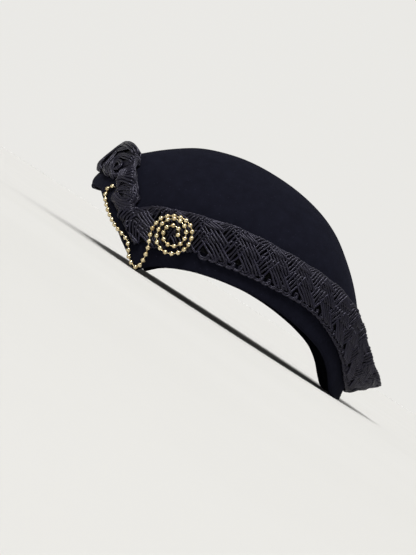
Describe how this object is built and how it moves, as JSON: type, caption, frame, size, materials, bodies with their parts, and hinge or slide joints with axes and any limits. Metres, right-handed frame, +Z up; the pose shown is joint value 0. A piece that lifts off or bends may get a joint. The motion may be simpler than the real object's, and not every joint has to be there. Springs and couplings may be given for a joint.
{
  "type": "capulet hat",
  "caption": "Small blocked felt capulet for the back of the head, trimmed with knotted cord braid round the sides and front and a ball chain coiled at each temple.",
  "frame": {"origin": "centre of the hat's box, on the level surface that it rests on", "axes": "+Z up; the front of the hat faces -Y; +X is the wearer's left"},
  "size_m": [0.166, 0.2301, 0.0995],
  "materials": {
    "wool_felt": "matt, very dark navy blocked wool felt",
    "cord_braid": "very dark navy rayon cord with a soft satin sheen, knotted into a wide braid",
    "pale_brass": "polished pale gold ball chain"
  },
  "bodies": {
    "root": {"felt_crown": "wool_felt", "front_braid": "cord_braid", "side_braid": "cord_braid", "ball_chain_left": "pale_brass", "ball_chain_right": "pale_brass"}
  },
  "joints": []
}
